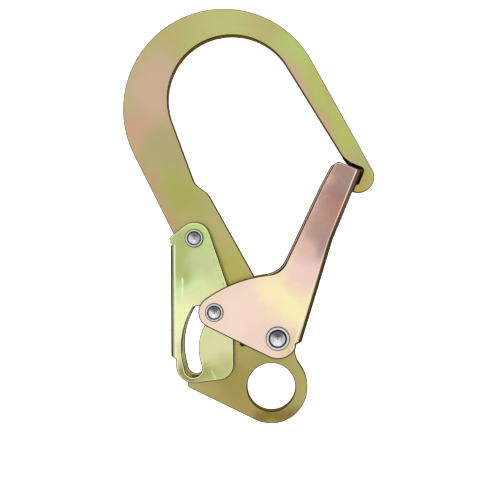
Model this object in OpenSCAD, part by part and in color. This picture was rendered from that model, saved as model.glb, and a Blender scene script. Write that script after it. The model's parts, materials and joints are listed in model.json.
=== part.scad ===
// Large double-action scaffold snap hook: flat hook plate, pressed gate, pressed lock lever.
// Millimetres. The origin is the centre of the attachment eye's bore, half way through the plate.
// +X runs towards the gate side, +Z towards the crown, and Y runs through the thickness.
// Outlines are drawn in X and Z and stand on the plate's mid-plane; -Y is the front.

/* [Hook plate] */
// Thickness of the hook plate
plate_t = 8; // [6:0.5:8]
// Radius of the attachment eye's bore
eye_bore_r = 12; // [10:0.5:13]
// Radius of the outside of the eye
eye_outer_r = 18.2; // [17.5:0.1:19]
// Outside radius of the crown
crown_outer_r = 50.4; // [50:0.1:51]
// Inside radius of the crown
crown_inner_r = 32.1; // [31:0.1:33]
// Radius of the rounded nose
nose_r = 7.85; // [7.5:0.05:8.1]

/* [Pressed parts] */
// Thickness of the gate's and the lock lever's sheet
sheet_t = 2; // [1.5:0.1:2.2]
// Outside radius of the bends between web and side plates
bend_r = 3; // [2.6:0.1:3.4]
// Width of the lock lever over both side plates
lock_w = 19; // [18:0.5:19]
// Width of the gate over both side plates
gate_w = 23.6; // [23.6:0.2:25]

/* [Motion] */
// Angle that the gate swings open, in degrees
gate_swing = 47; // [40:1:47]
// Angle that the lock lever is pressed in, in degrees
lock_press = 10; // [9:0.5:10.2]

/* [Pins and bushes] */
// Radius of the gate pivot's rivet head
gate_head_r = 6.1; // [5.8:0.05:6.3]
// Radius of the two smaller rivet heads
small_head_r = 4.7; // [4.4:0.05:4.8]
// Height of a rivet head
head_h = 1.5; // [1.2:0.1:1.6]
// Radius of the bush that the gate turns on
gate_bush_r = 5.5; // [5.2:0.1:5.6]
// Radius of the bush that the lock lever turns on
lock_bush_r = 4.5; // [4.3:0.1:4.6]
// Radius of the sleeve on the lock pin
sleeve_r = 4; // [3.8:0.1:4.1]
// Running clearance of a bush in the plate, on the radius
running_gap = 0.05; // [0.03:0.01:0.08]

/* [Springs] */
// Wire diameter of the gate spring
gate_wire = 1.6; // [1.4:0.1:1.6]
// Wire diameter of the lock spring
lock_wire = 1.2; // [1:0.1:1.2]

/* [Hidden] */

$fn = 96;
ARC_SAG = 0.012;                 // how far an outline's chord may cut inside its true arc
BAR_DEPTH = 90;                  // more than a pressed part reaches back from its web
CHANNEL_HALF = 100;              // more than a web runs either way from its named point
SPLIT = 0.02;                    // keeps the faces of two cuts apart

// Places of the three pivots, in X and Z
gate_pivot = [3.4, 25.0];
lock_pivot = [-38.0, 74.5];
pin_rest = [-27.9, 37.9];

// Hook plate: centres and edge directions
crown_outer_c = [-23.8, 139.0];
crown_inner_c = [-19.8, 144.0];
nose_c = [43.8, 105.1];
outer_right_deg = 29.3;          // outward normal of the outer arm edge
outer_left_deg = 206.6;          // outward normal of the shank's outer edge
inner_right_deg = 31.8;          // inner arm edge, seen from the crown's inner centre
inner_left_deg = 200.1;          // inner edge above the step
shank_deg = 29.16;               // outward normal of the shank's inner edge
shank_past_pivot = 4.34;         // how far that edge passes outside the gate pivot
eye_tangent_deg = 244;           // normal of the bottom edge, tangent to the eye
boss_r = 9.5;                    // plate round the gate pivot, inside the gate's web
eye_neck_r = 12.5;
shank_neck_r = 20;
step_low = [-31.7, 96.8];        // the step where the opened gate's tip finds room
step_high = [-38.4, 101.7];
bay_r = sleeve_r + 0.5;          // half the width of the pin's bay
step_r = 8;
toe_top = [-41.7, 3.4];
toe_top_r = 1;
toe_bottom_x = -41.7;
toe_bottom_r = 1.4;
bay_mouth_r = 0.7;
bay_mouth_deg = 100;             // where the bay's round side begins
bay_mouth_turn = 12;

// Gate: the web is two straight stretches with a slight crease between them
web_foot = [15.1, 22.8];
web_knee = [30.5, 73.6];
tip_out = [44.7, 108.0];
web_low_deg = angle_of(web_knee - web_foot);
web_high_deg = angle_of(tip_out - web_knee);
tip_in = [32.1, 113.0];
tip_r = 3;
arm_kink = [25.3, 100.2];
arm_kink_r = 20;
arm_low = [12.2, 72.3];          // a point on the straight inner edge of the arm
gate_back_r = 65;                // long convex curve between the arm and the pin
gate_back_deg = 126;
gate_throat_r = 10;
rear_throat_r = 13;              // the rear side plate is a little larger in the throat
rear_margin = 0.9;
pin_lobe_r = 8;
pivot_lobe_r = 10.2;
web_gap = 0.15;                  // rest clearance between the web and the hook's tooth

// Lock lever
lock_top_r = 8;
lock_edge_deg = 18.9;            // outward normal of the long right-hand edge
lock_shoulder_deg = 128.7;
lock_heel = [-50.0, 75.2];
lock_web_end = [-49.7, 15.9];
lock_foot = [-47.1, 14.6];
lock_web_top = 70.6;             // the side plates stand flat above the end of the web
relief_r = 0.7;                  // half-round relief where the bends start
relief_out = 0.1;
relief_up = 0.6;
heel_r = 1.5;
web_end_r = 0.6;
lock_edge_r = 15;
lock_low_c = [-38.1, 11.6];
lock_low_r = 9;
lock_low_deg = 277.5;            // outward normal of the bottom edge
lock_right_x = -18.5;
lock_right_r = 7.5;
slot_outer_c = [-7.7, 20.5];
slot_outer_r = 36.6;
slot_inner_c = [-12.0, 19.9];
slot_inner_r = 23.9;
slot_end_c = [-38.45, 9.9];
slot_end_r = 4.25;
slot_outer_end = 196;            // where the two long arcs stop short of the slot's round end
slot_inner_end = 200;
slot_end_from = 200;
slot_end_to = 375;
pocket_half = 4.3;               // half the width of the pocket that holds the pin

// Depths, half widths measured from the plate's mid-plane
plate_y = plate_t / 2;
lock_in_y = lock_w / 2 - sheet_t;
lock_out_y = lock_w / 2;
gate_in_y = gate_w / 2 - sheet_t;
gate_out_y = gate_w / 2;

// Colours
ZINC_YELLOW = [0.70, 0.67, 0.38];
ZINC_PINK = [0.91, 0.82, 0.74];
ZINC_GREEN = [0.76, 0.84, 0.58];
BRIGHT = [0.75, 0.76, 0.78];
SPRING_STEEL = [0.45, 0.46, 0.48];

// ---- Outline helpers -------------------------------------------------------------------

function unit(a) = [cos(a), sin(a)];
function angle_of(v) = atan2(v[1], v[0]);
function rotated(v, a) = [v[0] * cos(a) - v[1] * sin(a), v[0] * sin(a) + v[1] * cos(a)];
function about(p, c, a) = c + rotated(p - c, a);

// Points of an arc from angle a0 to a1; a1 below a0 runs clockwise
function arc(c, r, a0, a1) =
    let (step = 2 * acos(1 - ARC_SAG / max(r, 4 * ARC_SAG)),
         n = max(2, ceil(abs(a1 - a0) / step)))
    [for (i = [0:n]) c + r * unit(a0 + (a1 - a0) * i / n)];

// The corner p of the path a-p-b, rounded to radius r
function corner(a, p, b, r) =
    let (u = (a - p) / norm(a - p),
         v = (b - p) / norm(b - p),
         half = acos(max(-1, min(1, u * v))) / 2,
         c = p + (u + v) / norm(u + v) * r / sin(half),
         a0 = angle_of(p + u * r / tan(half) - c),
         sweep = (u[0] * v[1] - u[1] * v[0] > 0 ? -1 : 1) * (180 - 2 * half))
    arc(c, r, a0, a0 + sweep);

// Where the line through p along angle ap meets the line through q along angle aq
function meet(p, ap, q, aq) =
    let (d = unit(ap), e = unit(aq), w = q - p)
    p + d * (w[0] * e[1] - w[1] * e[0]) / (d[0] * e[1] - d[1] * e[0]);

// Centre at distance ra from a and rb from b, on the left of the line from a to b
function at_distances(a, ra, b, rb) =
    let (d = norm(b - a), x = (ra * ra - rb * rb + d * d) / (2 * d), u = (b - a) / d)
    a + x * u + sqrt(ra * ra - x * x) * [-u[1], u[0]];

// An outline in X and Z made into a slab from y0 to y1
module slab(y0, y1) {
    translate([0, y1, 0])
        rotate([90, 0, 0])
            linear_extrude(y1 - y0)
                children();
}

// A round bar along Y from y0 to y1
module bar(c, r, y0, y1) {
    translate([c[0], y1, c[1]])
        rotate([90, 0, 0])
            cylinder(r = r, h = y1 - y0);
}

// A ring along Y from y0 to y1
module ring(c, r, hole_r, y0, y1) {
    slab(y0, y1)
        translate(c)
            difference() {
                circle(r);
                circle(hole_r);
            }
}

// ---- Hook plate ------------------------------------------------------------------------

shank_dir = shank_deg + 90;
shank_foot = gate_pivot + shank_past_pivot * unit(shank_deg);
eye_neck_c = at_distances(gate_pivot, boss_r + eye_neck_r, [0, 0], eye_outer_r + eye_neck_r);
shank_neck_run = sqrt(pow(boss_r + shank_neck_r, 2) - pow(shank_past_pivot + shank_neck_r, 2));
shank_neck_c = shank_foot + shank_neck_r * unit(shank_deg) + shank_neck_run * unit(shank_dir);

// The pin's bay: where the shank's outer edge enters it, and the pin's place when open
left_edge = crown_outer_c + crown_outer_r * unit(outer_left_deg);
left_dir = outer_left_deg + 90;
pin_inset = (left_edge - pin_rest) * unit(outer_left_deg);
bay_mouth = pin_rest + pin_inset * unit(outer_left_deg)
            - sqrt(bay_r * bay_r - pin_inset * pin_inset) * unit(left_dir);
pin_run = norm(pin_rest - gate_pivot);
pin_deg = angle_of(pin_rest - gate_pivot);
pin_open = about(pin_rest, gate_pivot, gate_swing);
pin_open_deg = pin_deg + gate_swing;
toe_deg = angle_of(pin_open - [0, bay_r] - toe_top) - 90;
bottom_edge = eye_outer_r * unit(eye_tangent_deg);
toe_bottom = meet(bottom_edge, eye_tangent_deg + 90, [toe_bottom_x, 0], 90);

// The notch in the nose that takes the end of the gate's web
shelf_dir = angle_of(tip_in - tip_out);
shelf_gap = 1.9;
shelf_r = 12;
notch_gap = 1.2;
notch_r = 1.8;
tooth_top = 101.5;
tooth_slope = 60;                // between the notch's wall and the tooth's upper side
tooth_root_r = 0.3;
tooth_face_r = 0.6;
inner_edge = crown_inner_c + crown_inner_r * unit(inner_right_deg);
shelf_start = tip_out + shelf_gap * unit(shelf_dir - 90);
shelf_corner = meet(inner_edge, inner_right_deg - 90, shelf_start, shelf_dir);
web_face = tip_out + web_gap * unit(web_high_deg - 90);
notch_wall = tip_out + (web_gap + notch_gap) * unit(web_high_deg - 90);
notch_corner = meet(shelf_start, shelf_dir, notch_wall, web_high_deg);
tooth_face = meet(web_face, web_high_deg, [0, tooth_top], 0);
tooth_root = meet(notch_wall, web_high_deg, tooth_face, web_high_deg - tooth_slope);
tooth_in = web_face - nose_c;
tooth_side = tooth_in * unit(web_high_deg - 90);
tooth_tip = nose_c + tooth_side * unit(web_high_deg - 90)
            - sqrt(nose_r * nose_r - tooth_side * tooth_side) * unit(web_high_deg);
tooth_deg = angle_of(tooth_tip - nose_c);

// The back half of the notch is tighter: a lip stands in from its shelf and its wall, from the
// arm's inner edge down to the tooth
lip_shelf_gap = 0.9;
lip_wall_gap = 0.25;
lip_start = [35.8, 115.0];
lip_knee = [38.2, 111.9];
lip_knee_r = 2;
lip_corner_r = 1.5;
lip_end_run = 7.6;
lip_root = [2.5, 1.5];           // from the lip's edge to well inside the plate
lip_shelf = tip_out + lip_shelf_gap * unit(shelf_dir - 90);
lip_wall = tip_out + lip_wall_gap * unit(web_high_deg - 90);
lip_corner = meet(lip_shelf, shelf_dir, lip_wall, web_high_deg);
lip_end = lip_wall - lip_end_run * unit(web_high_deg);

function lip_outline() = concat(
    [lip_start + lip_root, lip_start],
    corner(lip_start, lip_knee, lip_corner, lip_knee_r),
    corner(lip_knee, lip_corner, lip_end, lip_corner_r),
    [lip_end, lip_end + lip_root, lip_corner + lip_root]
);

// Holes that hold the fixed ends of the two springs
wire_hole_gap = 0.25;
gate_anchor = [-14.3, 21.8];
lock_anchor = [-28.6, 66.8];

function plate_outline() = concat(
    arc(crown_outer_c, crown_outer_r, outer_right_deg, outer_left_deg),
    corner(left_edge, bay_mouth, pin_rest + bay_r * unit(bay_mouth_deg), bay_mouth_r),
    arc(pin_rest, bay_r, angle_of(bay_mouth - pin_rest) - bay_mouth_turn, pin_deg - 180),
    arc(gate_pivot, pin_run - bay_r, pin_deg, pin_open_deg),
    arc(pin_open, bay_r, pin_open_deg - 180, toe_deg),
    corner(pin_open + bay_r * unit(toe_deg), toe_top, toe_bottom, toe_top_r),
    corner(toe_top, toe_bottom, bottom_edge, toe_bottom_r),
    arc([0, 0], eye_outer_r, eye_tangent_deg, 360 + angle_of(eye_neck_c)),
    arc(eye_neck_c, eye_neck_r, 180 + angle_of(eye_neck_c),
        angle_of(gate_pivot - eye_neck_c)),
    arc(gate_pivot, boss_r, angle_of(eye_neck_c - gate_pivot),
        angle_of(shank_neck_c - gate_pivot)),
    arc(shank_neck_c, shank_neck_r, 180 + angle_of(shank_neck_c - gate_pivot), 180 + shank_deg),
    corner(shank_foot, step_low, step_high, step_r),
    corner(step_low, step_high, crown_inner_c + crown_inner_r * unit(inner_left_deg), step_r),
    arc(crown_inner_c, crown_inner_r, inner_left_deg, inner_right_deg),
    corner(inner_edge, shelf_corner, notch_corner, shelf_r),
    corner(shelf_corner, notch_corner, tooth_root, notch_r),
    corner(notch_corner, tooth_root, tooth_face, tooth_root_r),
    corner(tooth_root, tooth_face, tooth_tip, tooth_face_r),
    arc(nose_c, nose_r, tooth_deg, outer_right_deg)
);

module hook_body() {
    color(ZINC_YELLOW) {
        slab(0, plate_y)
            polygon(lip_outline());
        slab(-plate_y, plate_y)
            difference() {
                polygon(plate_outline());
                circle(eye_bore_r);
                translate(gate_pivot)
                    circle(gate_bush_r + running_gap);
                translate(lock_pivot)
                    circle(lock_bush_r + running_gap);
                translate(gate_anchor)
                    circle(gate_wire / 2 + wire_hole_gap);
                translate(lock_anchor)
                    circle(lock_wire / 2 + wire_hole_gap);
            }
    }
}

// ---- Gate ------------------------------------------------------------------------------

gate_back_c = pin_rest + (pin_lobe_r - gate_back_r) * unit(gate_back_deg);
arm_dir = angle_of(arm_kink - arm_low);
gate_low_deg = angle_of(gate_pivot - pin_rest) - 90
               - asin((pivot_lobe_r - pin_lobe_r) / norm(gate_pivot - pin_rest));
pivot_lobe_end = -28;
web_foot_in = [12.5, 22.2];      // the web's lower end, on its inside
web_spare = 4;                   // how far the outline runs out past the web's face
foot_spare = web_spare * (web_foot - web_foot_in) / norm(web_foot - web_foot_in);

// Centre of the fillet of radius r between the convex back and the arm's inner edge, which
// stands out by margin on the rear side plate
function throat_centre(r, margin) =
    let (side = r + margin - (gate_back_c - arm_low) * unit(arm_dir + 90),
         run = sqrt(pow(gate_back_r + r, 2) - side * side))
    gate_back_c + side * unit(arm_dir + 90) + run * unit(arm_dir);

// The gate's outline, open past the web: the channel itself makes the web's outer face
function gate_outline(r = gate_throat_r, margin = 0) =
    let (out = margin * unit(arm_dir + 90), throat = throat_centre(r, margin))
    concat(
    arc(pin_rest, pin_lobe_r, gate_back_deg, 360 + gate_low_deg),
    arc(gate_pivot, pivot_lobe_r, gate_low_deg, pivot_lobe_end),
    [web_foot_in, web_foot + foot_spare],
    [web_knee + web_spare * unit(web_low_deg - 90)],
    [tip_out - web_spare * unit(shelf_dir)],
    corner(tip_out, tip_in + out, arm_kink + out, tip_r),
    corner(tip_in + out, arm_kink + out, arm_low + out, arm_kink_r),
    arc(throat, r, arm_dir - 90, angle_of(gate_back_c - throat)),
    arc(gate_back_c, gate_back_r, angle_of(throat - gate_back_c), gate_back_deg)
);

// A bar whose outer face starts at p and runs along angle dir. Its body lies to the left of
// that face, and its two long outer edges are rounded to r.
module edge_bar(p, dir, length, width, r) {
    translate([p[0], 0, p[1]])
        rotate([0, 90 - dir, 0])
            linear_extrude(length) {
                translate([-BAR_DEPTH, -width / 2])
                    square([BAR_DEPTH - r, width]);
                translate([-BAR_DEPTH, r - width / 2])
                    square([BAR_DEPTH, width - 2 * r]);
                for (side = [-1, 1])
                    translate([-r, side * (width / 2 - r)])
                        circle(r);
            }
}

// The outside of a pressed channel, and the hollow inside it
module channel_outside(p, dir, width) {
    edge_bar(p - CHANNEL_HALF * unit(dir), dir, 2 * CHANNEL_HALF, width, bend_r);
}

module channel_hollow(p, dir, width) {
    edge_bar(p - CHANNEL_HALF * unit(dir) - sheet_t * unit(dir - 90), dir,
             2 * CHANNEL_HALF, width - 2 * sheet_t, bend_r - sheet_t);
}

module gate() {
    color(ZINC_PINK)
        difference() {
            intersection() {
                union() {
                    channel_outside(web_knee, web_low_deg, gate_w);
                    channel_outside(web_knee, web_high_deg, gate_w);
                }
                union() {
                    slab(-gate_w, 0)
                        polygon(gate_outline());
                    slab(0, gate_w)
                        polygon(gate_outline(rear_throat_r, rear_margin));
                }
            }
            channel_hollow(web_knee, web_low_deg, gate_w);
            channel_hollow(web_knee, web_high_deg, gate_w);
            bar(gate_pivot, gate_shank_r, -gate_w, gate_w);
            bar(pin_rest, pin_shank_r, -gate_w, gate_w);
        }
}

// ---- Lock lever ------------------------------------------------------------------------

lock_edge_start = lock_pivot + lock_top_r * unit(lock_edge_deg);
lock_low_edge = lock_low_c + lock_low_r * unit(lock_low_deg);
lock_right_low = meet(lock_low_edge, lock_low_deg + 90, [lock_right_x, 0], 90);
lock_right_high = meet(lock_edge_start, lock_edge_deg + 90, [lock_right_x, 0], 90);
lock_shoulder = lock_pivot + lock_top_r * unit(lock_shoulder_deg);

function lock_outline() = concat(
    arc(lock_pivot, lock_top_r, lock_edge_deg, lock_shoulder_deg),
    corner(lock_shoulder, lock_heel, lock_web_end, heel_r),
    corner(lock_heel, lock_web_end, lock_foot, web_end_r),
    [lock_foot],
    arc(lock_low_c, lock_low_r, 180, lock_low_deg),
    corner(lock_low_edge, lock_right_low, lock_right_high, lock_right_r),
    corner(lock_right_low, lock_right_high, lock_edge_start, lock_edge_r)
);

// The slot: a long arc for the swinging gate's pin, with a pocket at its upper end that
// holds the pin while the lever is out. The pocket's two sides turn about the lever's pivot.
pin_reach = norm(pin_rest - lock_pivot);
pocket_deg = angle_of(pin_rest - lock_pivot);
slot_top_r = 3;
slot_top_c = at_distances(slot_outer_c, slot_outer_r - slot_top_r,
                         lock_pivot, pin_reach - pocket_half + slot_top_r);
nib_r = 1;
nib_c = at_distances(slot_inner_c, slot_inner_r - nib_r,
                     lock_pivot, pin_reach + pocket_half + nib_r);

function slot_outline() = concat(
    arc(slot_outer_c, slot_outer_r, angle_of(slot_top_c - slot_outer_c), slot_outer_end),
    arc(slot_end_c, slot_end_r, slot_end_from, slot_end_to),
    arc(slot_inner_c, slot_inner_r, slot_inner_end, angle_of(nib_c - slot_inner_c)),
    arc(nib_c, nib_r, angle_of(nib_c - slot_inner_c), angle_of(lock_pivot - nib_c)),
    arc(lock_pivot, pin_reach + pocket_half, angle_of(nib_c - lock_pivot), pocket_deg),
    arc(pin_rest, pocket_half, pocket_deg, pocket_deg + 180),
    arc(lock_pivot, pin_reach - pocket_half, pocket_deg, angle_of(slot_top_c - lock_pivot)),
    arc(slot_top_c, slot_top_r, angle_of(lock_pivot - slot_top_c),
        angle_of(slot_top_c - slot_outer_c))
);

// What rounding to bend_r takes off the two long edges of a web whose face starts at p
module bend_waste(p, dir, length, width) {
    translate([p[0], 0, p[1]])
        rotate([0, 90 - dir, 0])
            linear_extrude(length)
                for (side = [-1, 1])
                    translate([-bend_r, side * (width / 2 - bend_r)])
                        mirror([0, side < 0 ? 1 : 0])
                            difference() {
                                square(bend_r + 1);
                                circle(bend_r);
                            }
}

module lock_lever() {
    lock_dir = angle_of(lock_web_end - lock_heel);
    relief = [lock_heel[0] - relief_out, lock_web_top + relief_up];
    bend_start = meet(lock_heel, lock_dir, relief, 0);
    above_y = lock_in_y + SPLIT;
    color(ZINC_GREEN)
        difference() {
            slab(-lock_out_y, lock_out_y)
                polygon(lock_outline());
            bend_waste(bend_start, lock_dir, CHANNEL_HALF, lock_w);
            channel_hollow(lock_heel, lock_dir, lock_w);
            slab(-above_y, above_y)
                translate([lock_heel[0] - 1, lock_web_top])
                    square(2 * bend_r + 2);
            bar(relief, relief_r, -lock_w, lock_w);
            slab(-lock_w, lock_w)
                polygon(slot_outline());
            bar(lock_pivot, lock_shank_r, -lock_w, lock_w);
        }
}

// ---- Rivets, bushes and rings ----------------------------------------------------------

gate_shank_r = 3.8;
lock_shank_r = 3;
pin_shank_r = 3;
gate_ring_r = 8.2;
lock_ring_r = 6.8;
end_play = 0.15;                 // room left at the ends of rings, sleeves and coils
rim_lean = 0.25;                 // how far a head's side leans in
rim_round = 0.5;                 // rounding of a head's outer edge
CUP_SLOPE = 25;                  // slope of the cone in a rivet's head, in degrees
RIM_SHARE = 0.76;                // the cup's radius and the cone's, as shares of the head's
CONE_SHARE = 0.60;
cup_step = 0.6;                  // depth of the step from the rim to the cone

// One end of a rivet stands on y = 0 and rises towards -Y. Its cup is cut out afterwards: a
// steep step inside the rim, then a cone.
module rivet_head(r) {
    rotate([90, 0, 0])
        rotate_extrude()
            polygon(concat(
                [[0, 0], [r, 0], [r - rim_lean, head_h - rim_round]],
                arc([r - rim_lean - rim_round, head_h - rim_round], rim_round, 0, 90),
                [[0, head_h]]
            ));
}

module rivet_cup(r) {
    rim_r = r * RIM_SHARE;
    cone_r = r * CONE_SHARE;
    cone_top = head_h - cup_step;
    rotate([90, 0, 0])
        rotate_extrude()
            polygon([[0, cone_top - cone_r * tan(CUP_SLOPE)], [cone_r, cone_top],
                     [rim_r, head_h], [rim_r, head_h + 1], [0, head_h + 1]]);
}

module at_both_faces(c, face_y) {
    for (side = [0, 1])
        mirror([0, side, 0])
            translate([c[0], -face_y, c[1]])
                children();
}

// A rivet through both side plates of a channel
module rivet(c, head_r, shank_r, face_y) {
    color(BRIGHT)
        difference() {
            union() {
                at_both_faces(c, face_y)
                    rivet_head(head_r);
                bar(c, shank_r, -face_y, face_y);
            }
            at_both_faces(c, face_y)
                rivet_cup(head_r);
        }
}

module gate_pivot_rivet() {
    rivet(gate_pivot, gate_head_r, gate_shank_r, gate_out_y);
}

module gate_pivot_bush() {
    color(BRIGHT)
        ring(gate_pivot, gate_bush_r, gate_shank_r, -gate_in_y, gate_in_y);
}

module gate_spacer_ring() {
    color(BRIGHT)
        ring(gate_pivot, gate_ring_r, gate_bush_r + running_gap, plate_y, gate_in_y - end_play);
}

module lock_pivot_rivet() {
    rivet(lock_pivot, small_head_r, lock_shank_r, lock_out_y);
}

module lock_pivot_bush() {
    color(BRIGHT)
        ring(lock_pivot, lock_bush_r, lock_shank_r, -lock_in_y, lock_in_y);
}

module lock_spacer_ring() {
    color(BRIGHT)
        ring(lock_pivot, lock_ring_r, lock_bush_r + running_gap, plate_y, lock_in_y - end_play);
}

// The pin stops short of the lever's side plates, and the sleeve between them carries on
module lock_pin() {
    color(BRIGHT)
        difference() {
            union() {
                at_both_faces(pin_rest, gate_out_y)
                    rivet_head(small_head_r);
                at_both_faces(pin_rest, gate_out_y)
                    bar([0, 0], pin_shank_r, 0, sheet_t);
            }
            at_both_faces(pin_rest, gate_out_y)
                rivet_cup(small_head_r);
        }
}

module lock_pin_sleeve() {
    sleeve_y = lock_in_y - end_play;
    color(BRIGHT)
        bar(pin_rest, sleeve_r, -sleeve_y, sleeve_y);
}

// ---- Springs ---------------------------------------------------------------------------

SPRING_GRIP = 4;                 // how deep a spring's fixed end reaches behind its coil
COIL_STEP = 15;                  // degrees of coil between two rings of the wire's mesh
coil_gap = 0.4;                  // room between a coil and its bush
gate_leg_deg = 67;               // the moving leg leans on the inside of the gate's web
gate_leg = 19;
lock_leg_deg = 255;              // the moving leg leans on the inside of the lever's web
lock_leg = 13;

// Wire swept along a path, as a closed tube
function tangent(path, i) =
    let (a = path[max(0, i - 1)], b = path[min(len(path) - 1, i + 1)])
    (b - a) / norm(b - a);

function ring_points(path, i, r, sides) =
    let (t = tangent(path, i),
         s0 = cross(t, abs(t[1]) < 0.9 ? [0, 1, 0] : [1, 0, 0]),
         s = s0 / norm(s0),
         w = cross(t, s))
    [for (k = [0:sides - 1]) path[i] + r * (cos(360 * k / sides) * s + sin(360 * k / sides) * w)];

module wire(path, r, sides = 8) {
    n = len(path);
    points = [for (i = [0:n - 1]) each ring_points(path, i, r, sides)];
    walls = [for (i = [0:n - 2], k = [0:sides - 1])
        [i * sides + k, i * sides + (k + 1) % sides,
         (i + 1) * sides + (k + 1) % sides, (i + 1) * sides + k]];
    start_cap = [[for (k = [sides - 1:-1:0]) k]];
    end_cap = [[for (k = [0:sides - 1]) (n - 1) * sides + k]];
    polyhedron(points, concat(walls, start_cap, end_cap), convexity = 6);
}

// A coil about c along Y, from angle a0 to a1 while y goes from y0 to y1
function coil(c, r, a0, a1, y0, y1) =
    let (n = ceil(abs(a1 - a0) / COIL_STEP))
    [for (i = [0:n]) let (t = i / n, a = a0 + (a1 - a0) * t)
        [c[0] + r * cos(a), y0 + (y1 - y0) * t, c[1] + r * sin(a)]];

// A torsion spring round c. It starts in the plate's hole at anchor, comes out towards -Y,
// joins the coil at a tangent, and ends in a straight leg that leaves the coil at leg_deg.
module torsion_spring(c, r, wire_r, anchor, turns, leg_deg, leg, y_in, y_out) {
    away = anchor - c;
    start_deg = angle_of(away) + acos(r / norm(away)) - 360;
    end_deg = leg_deg - 90 + 360 * turns;
    toward = unit(start_deg + 90);
    elbow = 2 * wire_r;
    color(SPRING_STEEL)
        wire(concat(
            [[anchor[0], y_in + SPRING_GRIP, anchor[1]],
             [anchor[0], y_in + elbow, anchor[1]],
             [anchor[0] + 0.3 * elbow * toward[0], y_in + 0.3 * elbow,
              anchor[1] + 0.3 * elbow * toward[1]],
             [anchor[0] + elbow * toward[0], y_in, anchor[1] + elbow * toward[1]]],
            coil(c, r, start_deg, end_deg, y_in, y_out),
            [[c[0] + r * cos(end_deg) + leg * cos(leg_deg), y_out,
              c[1] + r * sin(end_deg) + leg * sin(leg_deg)]]
        ), wire_r);
}

module gate_spring() {
    torsion_spring(gate_pivot, gate_bush_r + coil_gap + gate_wire / 2, gate_wire / 2,
                   gate_anchor, 2, gate_leg_deg, gate_leg,
                   -plate_y - end_play - gate_wire / 2, -gate_in_y + end_play + gate_wire / 2);
}

module lock_spring() {
    torsion_spring(lock_pivot, lock_bush_r + coil_gap + lock_wire / 2, lock_wire / 2,
                   lock_anchor, 1, lock_leg_deg, lock_leg,
                   -plate_y - end_play - lock_wire / 2, -lock_in_y + end_play + lock_wire / 2);
}

hook_body();
gate();
gate_pivot_rivet();
gate_pivot_bush();
gate_spacer_ring();
gate_spring();
lock_lever();
lock_pivot_rivet();
lock_pivot_bush();
lock_spacer_ring();
lock_spring();
lock_pin();
lock_pin_sleeve();
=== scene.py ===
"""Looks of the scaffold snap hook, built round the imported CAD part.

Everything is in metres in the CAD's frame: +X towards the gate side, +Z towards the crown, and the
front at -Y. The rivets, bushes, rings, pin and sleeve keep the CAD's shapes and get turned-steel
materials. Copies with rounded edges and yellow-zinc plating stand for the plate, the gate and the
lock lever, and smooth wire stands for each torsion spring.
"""

import json
import math

import bmesh
import bpy
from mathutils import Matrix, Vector


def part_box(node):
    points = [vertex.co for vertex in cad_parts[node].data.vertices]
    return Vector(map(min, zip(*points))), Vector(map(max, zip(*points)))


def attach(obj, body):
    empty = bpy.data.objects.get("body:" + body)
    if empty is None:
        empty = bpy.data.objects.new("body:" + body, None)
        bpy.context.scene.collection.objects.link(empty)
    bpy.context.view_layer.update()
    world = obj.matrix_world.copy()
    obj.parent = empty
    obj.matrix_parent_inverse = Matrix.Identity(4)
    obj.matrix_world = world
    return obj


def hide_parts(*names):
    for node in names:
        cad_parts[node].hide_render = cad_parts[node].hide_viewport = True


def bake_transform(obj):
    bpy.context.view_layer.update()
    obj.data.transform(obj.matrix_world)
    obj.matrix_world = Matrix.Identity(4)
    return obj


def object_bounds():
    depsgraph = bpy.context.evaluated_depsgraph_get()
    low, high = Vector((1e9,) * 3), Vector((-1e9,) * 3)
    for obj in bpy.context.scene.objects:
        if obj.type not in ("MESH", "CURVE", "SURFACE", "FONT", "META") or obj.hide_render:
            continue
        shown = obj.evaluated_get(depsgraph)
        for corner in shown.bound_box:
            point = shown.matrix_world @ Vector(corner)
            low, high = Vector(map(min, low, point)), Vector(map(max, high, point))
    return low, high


MM = 0.001
SAME_POINT = 0.001 * MM

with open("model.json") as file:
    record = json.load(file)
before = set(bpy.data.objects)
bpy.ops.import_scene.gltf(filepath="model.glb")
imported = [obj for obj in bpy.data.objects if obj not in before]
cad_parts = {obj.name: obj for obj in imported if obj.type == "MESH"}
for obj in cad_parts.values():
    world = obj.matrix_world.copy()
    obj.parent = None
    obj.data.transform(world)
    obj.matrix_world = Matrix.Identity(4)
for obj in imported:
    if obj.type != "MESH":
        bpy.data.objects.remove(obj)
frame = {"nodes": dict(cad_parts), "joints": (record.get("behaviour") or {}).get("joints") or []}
cad_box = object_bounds()
nodes = frame["nodes"]
joints = {joint["name"]: joint for joint in frame["joints"]}
scene = bpy.context.scene


# ---- Camera, stage and light -------------------------------------------------------------------

PLATE_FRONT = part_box("hook_body")[0].y
VIEW_DISTANCE = 0.55              # from the plate's front face
VIEW_WIDTH = 0.248                # what the frame spans at that face
VIEW_POINT = (0.0099, 0.0761)     # where the line of sight meets the plate, in X and Z
VIEW_SHIFT = (-0.0867, -0.0262)   # the frame's centre sits left of and below that point
FLOOR_DROP = 0.06                 # from the hook's lowest point down to the floor
FLOOR_REACH = 3.0                 # to either side, to the front and up the back wall
FLOOR_BEND_Y = 1.1                # where the floor starts to curve up
FLOOR_BEND_R = 0.5
FLOOR_BEND_STEPS = 12
FLOOR_GLOW = 0.55                 # the studio's floor is lit to plain white
FRONT_TO_BACK = (                 # the studio's light, by how far a direction runs front to back
    (0.0, 1.0), (0.10, 0.80), (0.22, 0.38), (0.50, 0.30), (0.62, 0.62), (0.72, 1.15), (0.82, 1.15),
    (0.92, 0.97), (0.97, 1.0),
)


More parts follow.
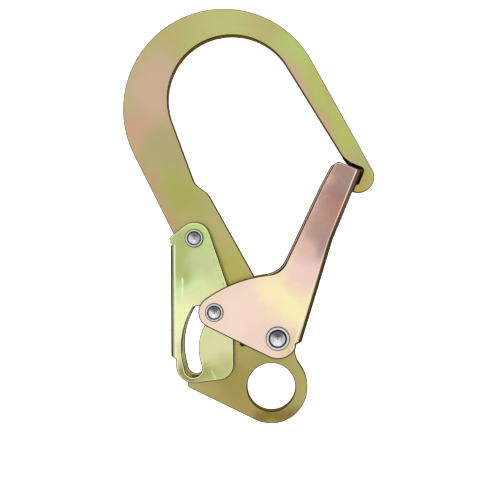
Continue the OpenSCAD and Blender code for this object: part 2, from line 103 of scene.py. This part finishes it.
def make_camera():
    data = bpy.data.cameras.new("camera")
    data.sensor_width = 36
    data.lens = data.sensor_width * VIEW_DISTANCE / VIEW_WIDTH
    data.shift_x, data.shift_y = VIEW_SHIFT
    data.clip_start = 0.01
    camera = bpy.data.objects.new("camera", data)
    camera.location = (VIEW_POINT[0], PLATE_FRONT - VIEW_DISTANCE, VIEW_POINT[1])
    camera.rotation_euler = (math.pi / 2, 0, 0)
    scene.collection.objects.link(camera)
    scene.camera = camera


def srgb(red, green, blue):
    """A colour given as 0 to 255 on a screen, as the linear RGBA that shaders take."""
    def linear(value):
        value /= 255
        return value / 12.92 if value <= 0.04045 else ((value + 0.055) / 1.055) ** 2.4
    return (linear(red), linear(green), linear(blue), 1)


class Nodes:
    """A short way to write a node tree."""

    def __init__(self, tree):
        self.tree = tree
        tree.nodes.clear()

    def add(self, kind, inputs=None, **settings):
        made = self.tree.nodes.new(kind)
        for name, value in settings.items():
            setattr(made, name, value)
        for socket, value in (inputs or {}).items():
            self.put(made.inputs[socket], value)
        return made

    def put(self, socket, value):
        if isinstance(value, bpy.types.NodeSocket):
            self.tree.links.new(value, socket)
        else:
            socket.default_value = value

    def math(self, operation, a, b=0.0, c=0.0, clamp=False):
        return self.add("ShaderNodeMath", {0: a, 1: b, 2: c}, operation=operation,
                        use_clamp=clamp).outputs[0]

    def vector(self, operation, a, b=(0, 0, 0)):
        made = self.add("ShaderNodeVectorMath", {0: a, 1: b}, operation=operation)
        single = operation in ("DISTANCE", "LENGTH", "DOT_PRODUCT")
        return made.outputs["Value" if single else "Vector"]

    def mix(self, factor, a, b, blend="MIX"):
        return self.add("ShaderNodeMix", {0: factor, 6: a, 7: b}, data_type="RGBA",
                        blend_type=blend).outputs[2]

    def noise(self, where, scale, detail=2.0, roughness=0.5):
        return self.add("ShaderNodeTexNoise", {"Vector": where, "Scale": scale, "Detail": detail,
                                               "Roughness": roughness}).outputs["Fac"]

    def smooth(self, value, start, end):
        """0 up to start, 1 from end on, smooth between them."""
        return self.add("ShaderNodeMapRange", {"Value": value, "From Min": start, "From Max": end},
                        interpolation_type="SMOOTHSTEP").outputs[0]


def make_stage():
    """A pale floor that curves up behind the hook, well below it."""
    floor_z = cad_box[0][2] - FLOOR_DROP
    profile = [(-FLOOR_REACH, floor_z)]
    for step in range(FLOOR_BEND_STEPS + 1):
        angle = math.pi / 2 * step / FLOOR_BEND_STEPS
        profile.append((FLOOR_BEND_Y + FLOOR_BEND_R * math.sin(angle),
                        floor_z + FLOOR_BEND_R * (1 - math.cos(angle))))
    profile.append((FLOOR_BEND_Y + FLOOR_BEND_R, FLOOR_REACH))
    points = [(side * FLOOR_REACH, y, z) for y, z in profile for side in (-1, 1)]
    faces = [(i, i + 1, i + 3, i + 2) for i in range(0, len(points) - 2, 2)]
    mesh = bpy.data.meshes.new("floor")
    mesh.from_pydata(points, [], faces)
    mesh.shade_smooth()
    floor = bpy.data.objects.new("floor", mesh)
    scene.collection.objects.link(floor)
    material = bpy.data.materials.new("floor")
    material.use_nodes = True
    tree = Nodes(material.node_tree)
    white = tree.add("ShaderNodeBsdfPrincipled", {
        "Base Color": (0.93, 0.93, 0.93, 1), "Roughness": 0.9,
        "Emission Color": (1, 1, 1, 1), "Emission Strength": FLOOR_GLOW})
    tree.add("ShaderNodeOutputMaterial", {"Surface": white.outputs[0]})
    mesh.materials.append(material)
    floor.visible_glossy = False


def make_world():
    """White to the eye. What the metal reflects is bright ahead of and behind the hook and darker
    to its sides, as between two large soft boxes, and brighter from above than from below."""
    world = bpy.data.worlds.new("studio")
    scene.world = world
    world.use_nodes = True
    tree = Nodes(world.node_tree)
    direction = tree.add("ShaderNodeTexCoord").outputs["Generated"]
    axes = tree.add("ShaderNodeSeparateXYZ", {0: direction})
    facing = tree.math("ABSOLUTE", axes.outputs[1])
    ramp = tree.add("ShaderNodeValToRGB", {0: facing})
    while len(ramp.color_ramp.elements) < len(FRONT_TO_BACK):
        ramp.color_ramp.elements.new(0.5)
    for element, (position, value) in zip(ramp.color_ramp.elements, FRONT_TO_BACK):
        element.position = position
        element.color = (value, value, value, 1)
    above = tree.smooth(axes.outputs[2], 0.2, 0.9)
    below = tree.smooth(axes.outputs[2], -0.2, -0.9)
    level = tree.math("MULTIPLY_ADD", above, 0.35, 1.0)
    level = tree.math("MULTIPLY_ADD", below, -0.45, level)
    soft = tree.add("ShaderNodeBackground", {"Color": ramp.outputs[0], "Strength": level})
    white = tree.add("ShaderNodeBackground", {"Color": (1, 1, 1, 1), "Strength": 1.0})
    seen = tree.add("ShaderNodeLightPath").outputs["Is Camera Ray"]
    both = tree.add("ShaderNodeMixShader", {0: seen, 1: soft.outputs[0], 2: white.outputs[0]})
    tree.add("ShaderNodeOutputWorld", {"Surface": both.outputs[0]})


# ---- Materials -----------------------------------------------------------------------------------

def place(node, across, up):
    """A place on a node, as shares of its box's width and height."""
    a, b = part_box(node)
    return Vector((a.x + across * (b.x - a.x), 0.0, a.z + up * (b.z - a.z)))


GRAZING_TINT = srgb(132, 118, 84)    # what the plating throws back where it is seen edge-on
WANDER_SCALE = 70.0                  # how often the clouds' outlines wander, to a metre
WANDER = 16 * MM                     # and how far


class Plating:
    """Yellow-zinc plated steel for one node, built up layer by layer. Its colour belongs to places
    on the node, so it stays where it is in every view."""

    def __init__(self, node, base):
        self.node = node
        self.material = bpy.data.materials.new(node)
        self.material.use_nodes = True
        self.tree = Nodes(self.material.node_tree)
        tree = self.tree
        coords = tree.add("ShaderNodeTexCoord")
        self.where = coords.outputs["Object"]
        turned = tree.add("ShaderNodeSeparateXYZ", {0: coords.outputs["Normal"]})
        self.towards = turned.outputs[1]
        self.facing = tree.math("ABSOLUTE", self.towards)   # 1 on a flat face, 0 on a side
        self.flat = tree.vector("MULTIPLY", self.where, (1, 0, 1))
        wander = tree.add("ShaderNodeTexNoise", {"Vector": self.where, "Scale": WANDER_SCALE,
                                                 "Detail": 3.0})
        shift = tree.vector("SUBTRACT", wander.outputs["Color"], (0.5, 0.5, 0.5))
        drift = tree.vector("MULTIPLY", shift, (WANDER, 0, WANDER))
        self.loose = tree.vector("ADD", self.flat, drift)
        self.colour = base

    def distance(self, where, start, end):
        """How far a point lies from the line between two places."""
        tree = self.tree
        along = end - start
        scale = 1 / max(along.length_squared, SAME_POINT ** 2)
        away = tree.vector("SUBTRACT", where, start)
        share = tree.math("MULTIPLY", tree.vector("DOT_PRODUCT", away, along), scale, clamp=True)
        nearest = tree.add("ShaderNodeVectorMath", {0: along, "Scale": share}, operation="SCALE")
        return tree.vector("LENGTH", tree.vector("SUBTRACT", away, nearest.outputs[0]))

    def above(self, start, end):
        """0 up to one share of the node's height, 1 from the other on, smooth between them."""
        height = self.tree.add("ShaderNodeSeparateXYZ", {0: self.where}).outputs[2]
        return self.tree.smooth(height, place(self.node, 0, start).z, place(self.node, 0, end).z)

    def cloud(self, across, up, radius, colour, to=None):
        """A soft cloud of another tint, round a place or along the line to a second one."""
        start = place(self.node, across, up)
        end = place(self.node, *to) if to else start
        away = self.distance(self.loose, start, end)
        share = self.tree.smooth(away, radius * MM, 0.15 * radius * MM)
        self.colour = self.tree.mix(share, self.colour, colour)

    def tone(self, factor):
        """Darkens or lightens the colour by a factor that varies over the surface."""
        grey = self.tree.add("ShaderNodeCombineColor", {0: factor, 1: factor, 2: factor})
        self.colour = self.tree.mix(1.0, self.colour, grey.outputs[0], "MULTIPLY")

    def speckle(self, amount, above=None):
        """Fine grey grain, everywhere or only above a share of the node's height."""
        tree = self.tree
        grain = tree.math("SUBTRACT", tree.noise(self.where, 1500.0, 3.0, 0.7), 0.5)
        if above:
            grain = tree.math("MULTIPLY", grain, self.above(above - 0.15, above + 0.15))
        self.tone(tree.math("MULTIPLY_ADD", grain, amount, 1.0))

    def brushing(self, amount):
        """Faint streaks across the face, left by rolling."""
        stretched = self.tree.vector("MULTIPLY", self.where, (120, 400, 1500))
        streak = self.tree.math("SUBTRACT", self.tree.noise(stretched, 1.0, 2.0), 0.5)
        self.tone(self.tree.math("MULTIPLY_ADD", streak, amount, 1.0))

    def chips(self, start, end, reach, colour):
        """Small chips in the plating in a band of the given width along a line."""
        tree = self.tree
        band = tree.smooth(self.distance(self.flat, place(self.node, *start),
                                         place(self.node, *end)), reach * MM, 0.5 * reach * MM)
        flakes = tree.smooth(tree.noise(self.where, 1100.0, 3.0, 0.6), 0.56, 0.64)
        self.colour = tree.mix(tree.math("MULTIPLY", band, flakes), self.colour, colour)

    def scratch_and_highlight(self, start, end, width, colour):
        """A fine line of another tint, as wide to either side as given; it serves for real
        scratches and for a painted highlight streak.
        """
        away = self.distance(self.flat, place(self.node, *start), place(self.node, *end))
        share = self.tree.smooth(away, width * MM, 0.3 * width * MM)
        self.colour = self.tree.mix(share, self.colour, colour)

    def recess_shade(self, behind, colour):
        """Painted shade on what faces the front but lies behind a depth, where the parts in front
        shade it.
        """
        tree = self.tree
        depth = tree.add("ShaderNodeSeparateXYZ", {0: self.where}).outputs[1]
        front = tree.smooth(self.towards, -0.3, -0.8)
        share = tree.math("MULTIPLY", tree.smooth(depth, behind, behind + 0.5 * MM), front)
        self.colour = tree.mix(share, self.colour, colour)

    def edges(self, rim, dark, wall, dark_below=0.90, rim_peak=0.96, band_top_reflection=None):
        """Painted light and shade on the plating, by how far the surface has turned away from the
        face:
        a painted highlight on the rim where the rounding starts, a band of painted shade round it,
        and painted shade on the sheared or bent side beyond. The rim is at its palest where facing
        is rim_peak, and the band starts at dark_below. Towards the top the band's colour turns to
        the one given for the top, a painted reflection."""
        tree = self.tree
        rising = tree.smooth(self.facing, dark_below, rim_peak)
        falling = tree.smooth(self.facing, 0.999, 0.985)
        # Painted highlight on the rim where the rounding starts.
        self.colour = tree.mix(tree.math("MULTIPLY", rising, falling), self.colour, rim)
        # Towards the top the band's painted shade turns to a painted reflection.
        if band_top_reflection:
            dark = tree.mix(self.above(0.55, 0.85), dark, band_top_reflection)
        # Painted shade in the band round the rim.
        self.colour = tree.mix(tree.smooth(self.facing, dark_below + 0.02, dark_below - 0.08),
                               self.colour, dark)
        # Painted shade on the sheared or bent side.
        self.colour = tree.mix(tree.smooth(self.facing, 0.35, 0.10), self.colour, wall)

    def finish(self, roughness):
        """The finished material, with an uneven gloss and a fine bump."""
        tree = self.tree
        mottle = tree.noise(self.where, 220.0, 4.0, 0.6)
        fine = tree.noise(self.where, 2600.0, 2.0, 0.6)
        rough = tree.math("MULTIPLY_ADD", mottle, 0.14, roughness - 0.07)
        bump = tree.add("ShaderNodeBump", {"Strength": 0.06, "Distance": 0.00004, "Height": fine})
        steel = tree.add("ShaderNodeBsdfPrincipled", {
            "Base Color": self.colour, "Metallic": 1.0, "Roughness": rough,
            "Specular Tint": GRAZING_TINT, "Normal": bump.outputs[0]})
        tree.add("ShaderNodeOutputMaterial", {"Surface": steel.outputs[0]})
        return self.material


def bright_steel(name, colour, roughness, steep_shade=None):
    """Turned steel with fine scratches and a little grey mottling. Where a shade colour is given,
    it is painted shade on a rivet head's most sloping faces, and a little over half of it is
    painted shade on the upper side of its cup, which looks downwards."""
    material = bpy.data.materials.new(name)
    material.use_nodes = True
    tree = Nodes(material.node_tree)
    coords = tree.add("ShaderNodeTexCoord")
    where = coords.outputs["Object"]
    mottle = tree.noise(where, 700.0, 4.0, 0.6)
    fine = tree.noise(where, 4000.0, 2.0)
    dark = tuple(0.6 * c for c in colour[:3]) + (1,)
    tint = tree.mix(tree.smooth(mottle, 0.4, 0.8), colour, dark)
    # Painted shade on the sloping faces and on the downward-looking upper side of the cup.
    if steep_shade:
        axes = tree.add("ShaderNodeSeparateXYZ", {0: coords.outputs["Normal"]})
        facing = tree.math("ABSOLUTE", axes.outputs[1])
        leaning = tree.smooth(facing, 0.98, 0.93)
        under_shade = tree.math("MULTIPLY", tree.smooth(axes.outputs[2], -0.05, -0.35), leaning)
        tint = tree.mix(tree.math("MULTIPLY", under_shade, 0.55), tint, steep_shade)
        tint = tree.mix(tree.smooth(facing, 0.895, 0.865), tint, steep_shade)
    rough = tree.math("MULTIPLY_ADD", mottle, 0.15, roughness - 0.07)
    bump = tree.add("ShaderNodeBump", {"Strength": 0.10, "Distance": 0.00003, "Height": fine})
    steel = tree.add("ShaderNodeBsdfPrincipled", {
        "Base Color": tint, "Metallic": 1.0, "Roughness": rough, "Normal": bump.outputs[0]})
    tree.add("ShaderNodeOutputMaterial", {"Surface": steel.outputs[0]})
    return material


def dress(node, material):
    mesh = nodes[node].data
    mesh.materials.clear()
    mesh.materials.append(material)


# ---- Plate, gate and lock lever ------------------------------------------------------------------

FLAT = math.radians(0.2)             # faces at less than this angle to each other become one
SHARP = math.radians(35)             # edges where faces meet at more than this are rounded
ROUND_STEPS = 4


def round_edges(node, body, width, leave=None):
    """Takes a CAD node's place with a copy whose sharp edges are rounded, but for those that lie
    where leave() says."""
    shape = bmesh.new()
    shape.from_mesh(nodes[node].data)
    bmesh.ops.remove_doubles(shape, verts=shape.verts, dist=SAME_POINT)
    bmesh.ops.dissolve_limit(shape, verts=shape.verts, edges=shape.edges, angle_limit=FLAT)
    sharp = [edge for edge in shape.edges
             if len(edge.link_faces) == 2 and edge.calc_face_angle() > SHARP
             and not (leave and all(leave(point.co) for point in edge.verts))]
    bmesh.ops.bevel(shape, geom=sharp, offset=width, offset_type="OFFSET", segments=ROUND_STEPS,
                    profile=0.5, affect="EDGES", clamp_overlap=False)
    mesh = bpy.data.meshes.new(node + "_rounded")
    shape.to_mesh(mesh)
    shape.free()
    mesh.shade_smooth()
    mesh.materials.append(nodes[node].data.materials[0])
    made = bpy.data.objects.new(mesh.name, mesh)
    scene.collection.objects.link(made)
    normals = made.modifiers.new("normals", "WEIGHTED_NORMAL")
    normals.mode = "FACE_AREA"
    normals.weight = 90
    normals.keep_sharp = False
    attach(made, body)
    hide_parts(node)


LEVER_RELIEF = place("lock_lever", 0, 0.86)
GATE_TIP = place("gate", 1, 0.95)


def near_relief(point):
    """The relief in the lever's bends, where faces taper to nothing and can't be rounded."""
    away = point - LEVER_RELIEF
    return away.x < 4 * MM and abs(away.z) < 1.5 * MM


def near_lip(point):
    """The lip in the back of the nose's notch, whose edges lie too close to others."""
    away = point - GATE_TIP
    return point.y > -0.1 * MM and math.hypot(away.x, away.z) < 12 * MM


# Clouds in the plating: a place as shares of the node's width and height, a radius in mm, a tint
# and, for a long cloud, a second place
PLATE_CLOUDS = (
    (0.15, 0.80, 30, srgb(205, 177, 150)),
    (0.06, 0.70, 16, srgb(203, 167, 136)),
    (0.18, 0.66, 22, srgb(181, 170, 123)),
    (0.40, 0.95, 26, srgb(192, 193, 124)),
    (0.30, 0.88, 14, srgb(186, 188, 118)),
    (0.68, 0.88, 24, srgb(181, 199, 114)),
    (0.92, 0.66, 14, srgb(177, 181, 120)),
    (0.62, 0.88, 8, srgb(202, 178, 136), (0.88, 0.60)),
    (0.74, 0.86, 7, srgb(186, 191, 109), (0.92, 0.66)),
    (0.94, 0.58, 8, srgb(166, 170, 97)),
    (0.96, 0.56, 10, srgb(192, 168, 96)),
    (0.23, 0.55, 22, srgb(174, 175, 100)),
    (0.07, 0.62, 8, srgb(190, 166, 122), (0.24, 0.42)),
    (0.18, 0.46, 14, srgb(188, 164, 116)),
    (0.40, 0.36, 20, srgb(182, 177, 91)),
    (0.52, 0.07, 42, srgb(170, 156, 92)),
    (0.43, 0.10, 12, srgb(164, 152, 84)),
    (0.36, 0.02, 12, srgb(172, 158, 90)),
    (0.55, 0.02, 8, srgb(141, 124, 63), (0.70, 0.02)),
    (0.80, 0.12, 9, srgb(160, 150, 84)),
)
GATE_CLOUDS = (
    (0.62, 0.28, 30, srgb(250, 241, 186)),
    (0.25, 0.20, 22, srgb(249, 220, 204)),
    (0.45, 0.12, 18, srgb(244, 214, 198)),
    (0.45, 0.34, 12, srgb(254, 236, 190)),
    (0.76, 0.10, 14, srgb(236, 222, 180)),
    (0.60, 0.04, 12, srgb(228, 206, 158)),
    (0.70, 0.45, 20, srgb(240, 207, 197)),
    (0.62, 0.40, 10, srgb(243, 209, 198)),
    (0.85, 0.70, 26, srgb(188, 140, 125)),
    (0.78, 0.58, 16, srgb(177, 147, 140)),
    (0.64, 0.55, 10, srgb(226, 190, 176)),
    (0.90, 0.84, 18, srgb(171, 129, 123)),
    (0.90, 0.95, 14, srgb(167, 142, 128)),
)
LEVER_CLOUDS = (
    (0.38, 0.90, 14, srgb(180, 215, 122)),
    (0.40, 0.72, 16, srgb(200, 207, 156)),
    (0.30, 0.60, 14, srgb(209, 234, 169)),
    (0.50, 0.52, 16, srgb(227, 230, 170)),
    (0.20, 0.40, 16, srgb(240, 246, 186)),
    (0.08, 0.88, 11, srgb(180, 190, 120), (0.08, 0.70)),
    (0.12, 0.24, 6, srgb(222, 220, 172), (0.12, 0.14)),
    (0.80, 0.33, 12, srgb(216, 222, 164)),
    (0.75, 0.22, 12, srgb(223, 222, 171)),
    (0.85, 0.10, 12, srgb(194, 197, 134)),
    (0.60, 0.05, 9, srgb(174, 182, 106)),
    (0.30, 0.03, 12, srgb(162, 148, 91)),
)


def dress_plate():
    plating = Plating("hook_body", srgb(188, 178, 118))
    for spot in PLATE_CLOUDS:
        plating.cloud(*spot)
    plating.speckle(0.10)
    plating.brushing(0.05)
    # Painted shade on front-facing surfaces that lie behind the plate's front face.
    plating.recess_shade(PLATE_FRONT + 1 * MM, srgb(34, 28, 14))
    # Painted highlight on the rims, painted shade round them and on the cut sides.
    plating.edges(srgb(200, 196, 128), srgb(50, 42, 14), srgb(158, 142, 84), dark_below=0.985,
                  rim_peak=0.995)
    dress("hook_body", plating.finish(0.32))


def dress_gate():
    plating = Plating("gate", srgb(240, 216, 196))
    for spot in GATE_CLOUDS:
        plating.cloud(*spot)
    plating.speckle(0.05)
    plating.speckle(0.35, above=0.62)
    # Painted shade on the back side plate's inner face, seen past the front one.
    plating.recess_shade(0, srgb(96, 80, 52))
    # Painted highlight on the rims, painted shade round them and on the bends, turning to a painted
    # reflection towards the tip.
    plating.edges(srgb(255, 232, 214), srgb(98, 88, 48), srgb(204, 174, 140), dark_below=0.95,
                  rim_peak=0.975, band_top_reflection=srgb(140, 112, 98))
    dress("gate", plating.finish(0.28))


def dress_lever():
    plating = Plating("lock_lever", srgb(208, 222, 152))
    for spot in LEVER_CLOUDS:
        plating.cloud(*spot)
    plating.speckle(0.08)
    plating.chips((0.60, 0.92), (1.0, 0.45), 1.8, srgb(150, 150, 140))
    plating.scratch_and_highlight((0.65, 0.08), (0.73, 0.02), 0.3, srgb(236, 232, 220))
    # Painted highlight streak where the face starts to bow into the bend.
    plating.scratch_and_highlight((0.195, 0.65), (0.192, 0.53), 0.7, srgb(230, 243, 198))
    # Painted highlight on the rims, painted shade round them and on the bends.
    plating.edges(srgb(240, 246, 196), srgb(104, 92, 44), srgb(170, 160, 96), dark_below=0.80,
                  rim_peak=0.93)
    dress("lock_lever", plating.finish(0.28))


# ---- Springs -------------------------------------------------------------------------------------

COIL_GAP = 0.4 * MM               # room between a coil and the bush that it stands round
GRIP = 4 * MM                     # how deep a fixed end reaches behind its coil
COIL_STEPS = 48                   # points on one turn
ELBOW_STEPS = 6
SIDES = 16
DOME = ((0.90, 0.35), (0.60, 0.80))   # the rings of a rounded end: how far out, how wide


def sweep(name, path, radius):
    """A round wire along a path, with rounded ends."""
    along = [(path[min(i + 1, len(path) - 1)] - path[max(i - 1, 0)]).normalized()
             for i in range(len(path))]
    rings = [(path[0] - along[0] * out * radius, along[0], wide * radius) for out, wide in DOME]
    rings += [(point, ahead, radius) for point, ahead in zip(path, along)]
    rings += [(path[-1] + along[-1] * out * radius, along[-1], wide * radius)
              for out, wide in reversed(DOME)]
    side = along[0].orthogonal()
    points = []
    for centre, ahead, size in rings:
        side = (side - ahead * side.dot(ahead)).normalized()
        other = ahead.cross(side)
        for k in range(SIDES):
            angle = 2 * math.pi * k / SIDES
            points.append(centre + size * (math.cos(angle) * side + math.sin(angle) * other))
    faces = [(i * SIDES + k, i * SIDES + (k + 1) % SIDES,
              (i + 1) * SIDES + (k + 1) % SIDES, (i + 1) * SIDES + k)
             for i in range(len(rings) - 1) for k in range(SIDES)]
    faces.append(tuple(range(SIDES - 1, -1, -1)))
    faces.append(tuple(range(len(points) - SIDES, len(points))))
    mesh = bpy.data.meshes.new(name)
    mesh.from_pydata(points, [], faces)
    mesh.shade_smooth()
    made = bpy.data.objects.new(name, mesh)
    scene.collection.objects.link(made)
    return made


def across_plate(angle, reach, y=0.0):
    """A step of a given reach in the plate's plane, and y through it."""
    return Vector((reach * math.cos(angle), y, reach * math.sin(angle)))


def make_spring(node, joint, bush, wire, anchor, turns, leg_angle, leg, material):
    """A torsion spring. Its fixed end stands in a hole of the plate, its coil goes round the bush,
    and its free leg leans on the inside of the moving part's web."""
    centre = Vector(joints[joint]["pos_m"])
    bush_low, bush_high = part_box(bush)
    node_low, node_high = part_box(node)
    radius = (bush_high.x - bush_low.x) / 2 + COIL_GAP + wire / 2
    y_in = node_high.y - GRIP
    y_out = node_low.y + wire / 2
    away = Vector(anchor) - Vector((centre.x, centre.z))
    start = math.atan2(away.y, away.x) + math.acos(radius / away.length) - 2 * math.pi
    end = leg_angle - math.pi / 2 + 2 * math.pi * turns
    elbow = wire
    fixed = Vector((anchor[0], 0, anchor[1]))
    path = [fixed + Vector((0, y_in + GRIP - wire / 2, 0))]
    for step in range(ELBOW_STEPS + 1):
        angle = math.pi / 2 * step / ELBOW_STEPS
        path.append(fixed + across_plate(start + math.pi / 2, elbow * (1 - math.cos(angle)),
                                         y_in + elbow * (1 - math.sin(angle))))
    steps = round(COIL_STEPS * (end - start) / (2 * math.pi))
    for step in range(steps + 1):
        share = step / steps
        path.append(centre + across_plate(start + share * (end - start), radius,
                                          y_in + share * (y_out - y_in)))
    path.append(path[-1] + across_plate(leg_angle, leg - wire / 2))
    made = sweep(node + "_wire", path, wire / 2)
    made.data.materials.append(material)
    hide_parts(node)
    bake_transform(made)


# ---- The hook ------------------------------------------------------------------------------------

make_camera()
make_stage()
make_world()
scene.view_settings.view_transform = "Standard"

dress_plate()
dress_gate()
dress_lever()
# Painted shade on the rivet heads' most sloping faces and the upper sides of their cups.
rivet = bright_steel("rivet", srgb(224, 224, 228), 0.22, steep_shade=srgb(92, 90, 88))
turned_steel = bright_steel("turned_steel", srgb(176, 176, 180), 0.34)
spring_steel = bright_steel("spring_steel", srgb(120, 122, 128), 0.30)
for name in ("gate_pivot_rivet", "lock_pivot_rivet", "lock_pin"):
    dress(name, rivet)
for name in ("gate_pivot_bush", "lock_pivot_bush", "lock_pin_sleeve", "gate_spacer_ring",
             "lock_spacer_ring"):
    dress(name, turned_steel)
make_spring("gate_spring", "gate_swing", "gate_pivot_bush", wire=1.6 * MM,
            anchor=(-14.3 * MM, 21.8 * MM), turns=2, leg_angle=math.radians(67), leg=19 * MM,
            material=spring_steel)
make_spring("lock_spring", "lock_press", "lock_pivot_bush", wire=1.2 * MM,
            anchor=(-28.6 * MM, 66.8 * MM), turns=1, leg_angle=math.radians(255), leg=13 * MM,
            material=spring_steel)
round_edges("hook_body", "hook", 0.55 * MM, near_lip)
round_edges("gate", "gate", 0.9 * MM)
round_edges("lock_lever", "lock", 0.8 * MM, near_relief)
